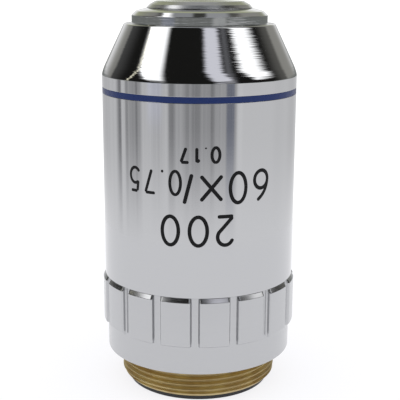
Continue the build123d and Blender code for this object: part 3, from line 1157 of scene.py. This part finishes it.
# %% Roll the sheet on the sleeve
position = put(ink_tree, "GeometryNodeInputPosition").outputs[0]
flat = put(ink_tree, "ShaderNodeSeparateXYZ", {0: position}).outputs
raised = calc(ink_tree, "MULTIPLY", flat[2], calc(ink_tree, "DIVIDE", given["Proud"], half_cut))
out = calc(ink_tree, "ADD", given["Sleeve"], raised)
angle = calc(ink_tree, "DIVIDE", calc(ink_tree, "MULTIPLY", flat[0], -1.0), given["Sleeve"])
to_front = calc(ink_tree, "MULTIPLY", out, calc(ink_tree, "COSINE", angle))
rolled = put(
    ink_tree,
    "ShaderNodeCombineXYZ",
    {
        0: calc(ink_tree, "MULTIPLY", out, calc(ink_tree, "SINE", angle)),
        1: calc(ink_tree, "MULTIPLY", to_front, -1.0),
        2: calc(ink_tree, "SUBTRACT", given["Top"], flat[1]),
    },
)
on_sleeve = put(
    ink_tree,
    "GeometryNodeSetPosition",
    {"Geometry": tubes.outputs[0], "Position": rolled.outputs[0]},
)
close_tree(ink_tree, on_sleeve.outputs[0], ink_black)

# %% Engrave both sheets
for figures, cutter in ((large_figures, LARGE_CUTTER), (small_figures, SMALL_CUTTER)):
    run_tree(
        figures,
        ink_tree,
        Cutter=cutter * MM,
        Proud=PROUD * MM,
        Sleeve=sleeve_r * MM,
        Top=SHEET_TOP * MM,
    )
    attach(figures, "housing")

# %% [markdown]
# ## Inner pieces
#
# The rest of the CAD model is inside and keeps its own meshes: stop ring, key, lenses, cells and
# spacers. Each gets the finish that its record names. The spring is wound in the next step.

# %% Finish the inner pieces
SLOT_FINISH = {
    "chrome": mirror_chrome,
    "brass": turned_brass,
    "black_metal": matt_black,
    "blue_enamel": blue_enamel,
    "steel": bright_steel,
    "glass": coated_glass,
}
slots = {part["node"]: part["material_slot"] for part in frame["record"]["subparts"]}
for node, thing in frame["nodes"].items():
    thing.data.materials.clear()
    thing.data.materials.append(SLOT_FINISH[slots[node]])
print("inner pieces finished:", len(slots))

# %% [markdown]
# ## Compression spring
#
# The spring sits around the barrel's stem and gets shorter when the nose is pushed in, which a solid
# can't do. A geometry tree winds round wire along a spiral in its place.

# %% Size of the spring
SPRING_WIRE = 1.0
SPRING_TURNS = 3.0
spring_out, spring_seat, spring_end = reach("compression_spring")
# The CAD wire has six flats, so its corners stand out a little further than round wire
corner_r = SPRING_WIRE / 2 / math.cos(math.radians(30))
coil_r = spring_out - corner_r

# %% Wind the spring
spring_tree, given = new_tree("wind_spring", Wire=0.001, Turns=3.0, Coil=0.007, Rise=0.005, Seat=0.01)
spiral = put(
    spring_tree,
    "GeometryNodeCurveSpiral",
    {
        "Resolution": 48,
        "Rotations": given["Turns"],
        "Start Radius": given["Coil"],
        "End Radius": given["Coil"],
        "Height": given["Rise"],
    },
)
wire_r = calc(spring_tree, "MULTIPLY", given["Wire"], 0.5)
wire = put(spring_tree, "GeometryNodeCurvePrimitiveCircle", {"Resolution": 16, "Radius": wire_r})
wound = put(
    spring_tree,
    "GeometryNodeCurveToMesh",
    {"Curve": spiral.outputs[0], "Profile Curve": wire.outputs[0], "Fill Caps": True},
)
first_turn = calc(spring_tree, "ADD", given["Seat"], wire_r)
lift = put(spring_tree, "ShaderNodeCombineXYZ", {2: first_turn})
seated = put(
    spring_tree,
    "GeometryNodeTransform",
    {"Geometry": wound.outputs[0], "Translation": lift.outputs[0]},
)
close_tree(spring_tree, seated.outputs[0], bright_steel)
spring = object_from(bmesh.new(), "wound_spring")
run_tree(
    spring,
    spring_tree,
    Wire=SPRING_WIRE * MM,
    Turns=SPRING_TURNS,
    Coil=coil_r * MM,
    Rise=(spring_end - spring_seat - SPRING_WIRE) * MM,
    Seat=spring_seat * MM,
)
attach(spring, "housing")
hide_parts("compression_spring")
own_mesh(spring)

# %% [markdown]
# ## Floor
#
# The floor is a white disc under the object. It ends a little way in front, where it is as bright
# as the table's far part, which is drawn into the studio. It glows a little, so that hardly any
# shadow stays, as in the photograph.

# %% Lay the floor
FLOOR_RADIUS = 85.0
FLOOR_SIDES = 128

bm = bmesh.new()
bmesh.ops.create_circle(bm, cap_ends=True, segments=FLOOR_SIDES, radius=FLOOR_RADIUS * MM)
bmesh.ops.translate(bm, verts=bm.verts, vec=(0, 0, table * MM))
floor = object_from(bm, "floor")
white_floor, tree, shader = finish(
    "white_floor",
    Base_Color=(0.22, 0.22, 0.22, 1),
    Roughness=0.9,
    Specular_IOR_Level=0.0,
    Emission_Color=(0.97, 0.97, 1.0, 1),
    Emission_Strength=0.80,
)
floor.data.materials.append(white_floor)
